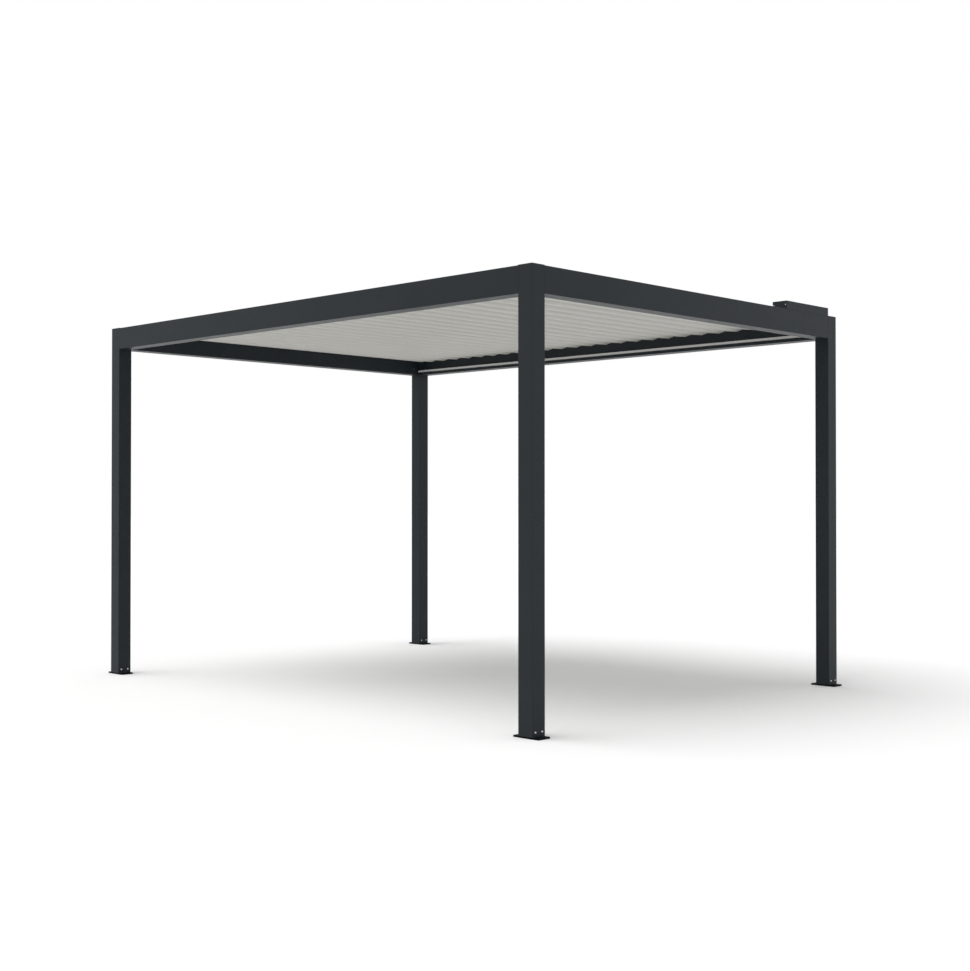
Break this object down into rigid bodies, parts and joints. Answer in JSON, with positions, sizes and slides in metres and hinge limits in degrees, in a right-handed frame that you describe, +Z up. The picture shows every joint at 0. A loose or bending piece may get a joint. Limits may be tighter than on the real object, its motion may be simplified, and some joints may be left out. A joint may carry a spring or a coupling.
{
  "type": "louvered pergola",
  "caption": "Free-standing rectangular pergola on square posts, with hollow beams, a roof of parallel turning louvers and light channels inside the long beams.",
  "frame": {"origin": "on the ground, under the centre of the plan", "axes": "+X along the long side, +Y along the short side from front to back, +Z up"},
  "size_m": [4.093, 2.994, 2.4855],
  "materials": {
    "frame_coat": "matte",
    "louver_coat": "satin",
    "bare_aluminium": "satin",
    "bearing_plastic": "matte",
    "diffuser": "satin"
  },
  "bodies": {
    "frame": {"feet": "frame_coat", "post_front_left": "frame_coat", "post_front_right": "frame_coat", "post_back_right": "frame_coat", "post_back_left": "frame_coat", "post_caps": "frame_coat", "front_beam": "frame_coat", "back_beam": "frame_coat", "left_beam": "frame_coat", "right_beam": "frame_coat", "beam_brackets": "bare_aluminium", "front_pivot_strip": "bearing_plastic", "back_pivot_strip": "bearing_plastic", "light_channels": "frame_coat", "light_diffusers": "diffuser", "control_box_base": "frame_coat", "control_box_cover": "frame_coat"},
    "louver_01": {"louver_01": "louver_coat"},
    "louver_02": {"louver_02": "louver_coat"},
    "louver_03": {"louver_03": "louver_coat"},
    "louver_04": {"louver_04": "louver_coat"},
    "louver_05": {"louver_05": "louver_coat"},
    "louver_06": {"louver_06": "louver_coat"},
    "louver_07": {"louver_07": "louver_coat"},
    "louver_08": {"louver_08": "louver_coat"},
    "louver_09": {"louver_09": "louver_coat"},
    "louver_10": {"louver_10": "louver_coat"},
    "louver_11": {"louver_11": "louver_coat"},
    "louver_12": {"louver_12": "louver_coat"},
    "louver_13": {"louver_13": "louver_coat"},
    "louver_14": {"louver_14": "louver_coat"},
    "louver_15": {"louver_15": "louver_coat"},
    "louver_16": {"louver_16": "louver_coat"},
    "louver_17": {"louver_17": "louver_coat"},
    "louver_18": {"louver_18": "louver_coat"},
    "louver_19": {"louver_19": "louver_coat"},
    "louver_20": {"louver_20": "louver_coat"},
    "louver_21": {"louver_21": "louver_coat"},
    "louver_22": {"louver_22": "louver_coat"},
    "louver_23": {"louver_23": "louver_coat"},
    "louver_24": {"louver_24": "louver_coat"},
    "louver_25": {"louver_25": "louver_coat"},
    "louver_26": {"louver_26": "louver_coat"},
    "tie_bar": {"tie_bar": "bare_aluminium"}
  },
  "joints": [
    {"name": "louver_01_turn", "type": "hinge", "parent": "frame", "child": "louver_01", "pos_m": [-1.79554, 0, 2.4045], "axis": [0, 1, 0], "range_deg": [0, 90]},
    {"name": "louver_02_turn", "type": "hinge", "parent": "frame", "child": "louver_02", "pos_m": [-1.6505, 0, 2.4045], "axis": [0, 1, 0], "range_deg": [0, 90]},
    {"name": "louver_03_turn", "type": "hinge", "parent": "frame", "child": "louver_03", "pos_m": [-1.50546, 0, 2.4045], "axis": [0, 1, 0], "range_deg": [0, 90]},
    {"name": "louver_04_turn", "type": "hinge", "parent": "frame", "child": "louver_04", "pos_m": [-1.36041, 0, 2.4045], "axis": [0, 1, 0], "range_deg": [0, 90]},
    {"name": "louver_05_turn", "type": "hinge", "parent": "frame", "child": "louver_05", "pos_m": [-1.21537, 0, 2.4045], "axis": [0, 1, 0], "range_deg": [0, 90]},
    {"name": "louver_06_turn", "type": "hinge", "parent": "frame", "child": "louver_06", "pos_m": [-1.07033, 0, 2.4045], "axis": [0, 1, 0], "range_deg": [0, 90]},
    {"name": "louver_07_turn", "type": "hinge", "parent": "frame", "child": "louver_07", "pos_m": [-0.92529, 0, 2.4045], "axis": [0, 1, 0], "range_deg": [0, 90]},
    {"name": "louver_08_turn", "type": "hinge", "parent": "frame", "child": "louver_08", "pos_m": [-0.78025, 0, 2.4045], "axis": [0, 1, 0], "range_deg": [0, 90]},
    {"name": "louver_09_turn", "type": "hinge", "parent": "frame", "child": "louver_09", "pos_m": [-0.63521, 0, 2.4045], "axis": [0, 1, 0], "range_deg": [0, 90]},
    {"name": "louver_10_turn", "type": "hinge", "parent": "frame", "child": "louver_10", "pos_m": [-0.49017, 0, 2.4045], "axis": [0, 1, 0], "range_deg": [0, 90]},
    {"name": "louver_11_turn", "type": "hinge", "parent": "frame", "child": "louver_11", "pos_m": [-0.34512, 0, 2.4045], "axis": [0, 1, 0], "range_deg": [0, 90]},
    {"name": "louver_12_turn", "type": "hinge", "parent": "frame", "child": "louver_12", "pos_m": [-0.20008, 0, 2.4045], "axis": [0, 1, 0], "range_deg": [0, 90]},
    {"name": "louver_13_turn", "type": "hinge", "parent": "frame", "child": "louver_13", "pos_m": [-0.05504, 0, 2.4045], "axis": [0, 1, 0], "range_deg": [0, 90]},
    {"name": "louver_14_turn", "type": "hinge", "parent": "frame", "child": "louver_14", "pos_m": [0.09, 0, 2.4045], "axis": [0, 1, 0], "range_deg": [0, 90]},
    {"name": "louver_15_turn", "type": "hinge", "parent": "frame", "child": "louver_15", "pos_m": [0.23504, 0, 2.4045], "axis": [0, 1, 0], "range_deg": [0, 90]},
    {"name": "louver_16_turn", "type": "hinge", "parent": "frame", "child": "louver_16", "pos_m": [0.38008, 0, 2.4045], "axis": [0, 1, 0], "range_deg": [0, 90]},
    {"name": "louver_17_turn", "type": "hinge", "parent": "frame", "child": "louver_17", "pos_m": [0.52513, 0, 2.4045], "axis": [0, 1, 0], "range_deg": [0, 90]},
    {"name": "louver_18_turn", "type": "hinge", "parent": "frame", "child": "louver_18", "pos_m": [0.67017, 0, 2.4045], "axis": [0, 1, 0], "range_deg": [0, 90]},
    {"name": "louver_19_turn", "type": "hinge", "parent": "frame", "child": "louver_19", "pos_m": [0.81521, 0, 2.4045], "axis": [0, 1, 0], "range_deg": [0, 90]},
    {"name": "louver_20_turn", "type": "hinge", "parent": "frame", "child": "louver_20", "pos_m": [0.96025, 0, 2.4045], "axis": [0, 1, 0], "range_deg": [0, 90]},
    {"name": "louver_21_turn", "type": "hinge", "parent": "frame", "child": "louver_21", "pos_m": [1.10529, 0, 2.4045], "axis": [0, 1, 0], "range_deg": [0, 90]},
    {"name": "louver_22_turn", "type": "hinge", "parent": "frame", "child": "louver_22", "pos_m": [1.25033, 0, 2.4045], "axis": [0, 1, 0], "range_deg": [0, 90]},
    {"name": "louver_23_turn", "type": "hinge", "parent": "frame", "child": "louver_23", "pos_m": [1.39538, 0, 2.4045], "axis": [0, 1, 0], "range_deg": [0, 90]},
    {"name": "louver_24_turn", "type": "hinge", "parent": "frame", "child": "louver_24", "pos_m": [1.54042, 0, 2.4045], "axis": [0, 1, 0], "range_deg": [0, 90]},
    {"name": "louver_25_turn", "type": "hinge", "parent": "frame", "child": "louver_25", "pos_m": [1.68546, 0, 2.4045], "axis": [0, 1, 0], "range_deg": [0, 90]},
    {"name": "louver_26_turn", "type": "hinge", "parent": "frame", "child": "louver_26", "pos_m": [1.8305, 0, 2.4045], "axis": [0, 1, 0], "range_deg": [0, 90]},
    {"name": "tie_bar_swing", "type": "hinge", "parent": "louver_13", "child": "tie_bar", "pos_m": [-0.08459, -1.389, 2.4182], "axis": [0, 1, 0], "range_deg": [-90, 0]}
  ],
  "couplings": [
    {"joint": "louver_01_turn", "follows": "louver_13_turn", "ratio": 1},
    {"joint": "louver_02_turn", "follows": "louver_13_turn", "ratio": 1},
    {"joint": "louver_03_turn", "follows": "louver_13_turn", "ratio": 1},
    {"joint": "louver_04_turn", "follows": "louver_13_turn", "ratio": 1},
    {"joint": "louver_05_turn", "follows": "louver_13_turn", "ratio": 1},
    {"joint": "louver_06_turn", "follows": "louver_13_turn", "ratio": 1},
    {"joint": "louver_07_turn", "follows": "louver_13_turn", "ratio": 1},
    {"joint": "louver_08_turn", "follows": "louver_13_turn", "ratio": 1},
    {"joint": "louver_09_turn", "follows": "louver_13_turn", "ratio": 1},
    {"joint": "louver_10_turn", "follows": "louver_13_turn", "ratio": 1},
    {"joint": "louver_11_turn", "follows": "louver_13_turn", "ratio": 1},
    {"joint": "louver_12_turn", "follows": "louver_13_turn", "ratio": 1},
    {"joint": "louver_14_turn", "follows": "louver_13_turn", "ratio": 1},
    {"joint": "louver_15_turn", "follows": "louver_13_turn", "ratio": 1},
    {"joint": "louver_16_turn", "follows": "louver_13_turn", "ratio": 1},
    {"joint": "louver_17_turn", "follows": "louver_13_turn", "ratio": 1},
    {"joint": "louver_18_turn", "follows": "louver_13_turn", "ratio": 1},
    {"joint": "louver_19_turn", "follows": "louver_13_turn", "ratio": 1},
    {"joint": "louver_20_turn", "follows": "louver_13_turn", "ratio": 1},
    {"joint": "louver_21_turn", "follows": "louver_13_turn", "ratio": 1},
    {"joint": "louver_22_turn", "follows": "louver_13_turn", "ratio": 1},
    {"joint": "louver_23_turn", "follows": "louver_13_turn", "ratio": 1},
    {"joint": "louver_24_turn", "follows": "louver_13_turn", "ratio": 1},
    {"joint": "louver_25_turn", "follows": "louver_13_turn", "ratio": 1},
    {"joint": "louver_26_turn", "follows": "louver_13_turn", "ratio": 1},
    {"joint": "tie_bar_swing", "follows": "louver_13_turn", "ratio": -1}
  ]
}
